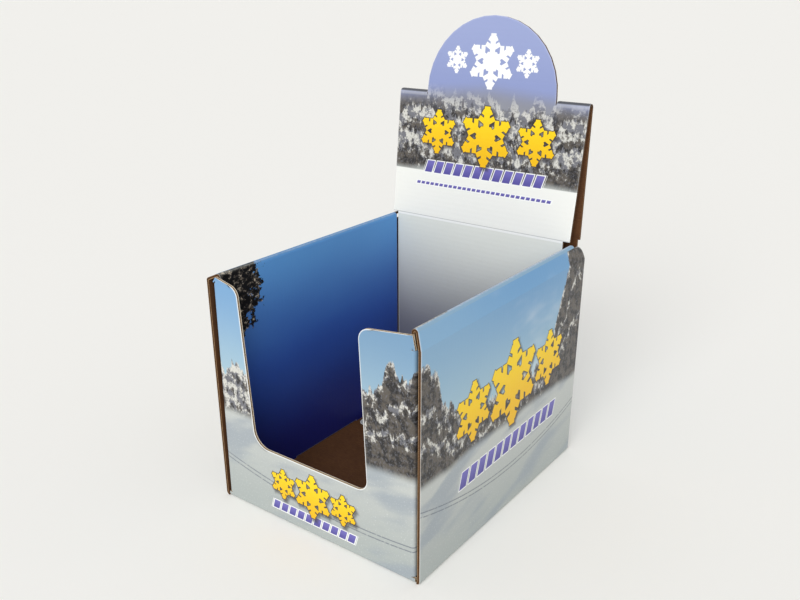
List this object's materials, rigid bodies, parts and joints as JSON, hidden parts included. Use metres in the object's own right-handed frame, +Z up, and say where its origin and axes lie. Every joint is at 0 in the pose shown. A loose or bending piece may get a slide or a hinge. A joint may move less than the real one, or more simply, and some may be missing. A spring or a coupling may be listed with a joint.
{
  "type": "cardboard display box",
  "caption": "Open-topped counter display box folded from one sheet of printed corrugated board, with a lopsided front cut-out, rolled side walls and a header with a half disc above it.",
  "frame": {"origin": "middle of the base's underside", "axes": "+Z up, the front panel with the cut-out faces -Y, the header stands at +Y, +X is the right-hand side seen from the front"},
  "size_m": [0.1624, 0.2014, 0.3033],
  "materials": {
    "printed_board": "printed and varnished outside, brown paper inside"
  },
  "bodies": {
    "root": {"display_box": "printed_board"}
  },
  "joints": []
}
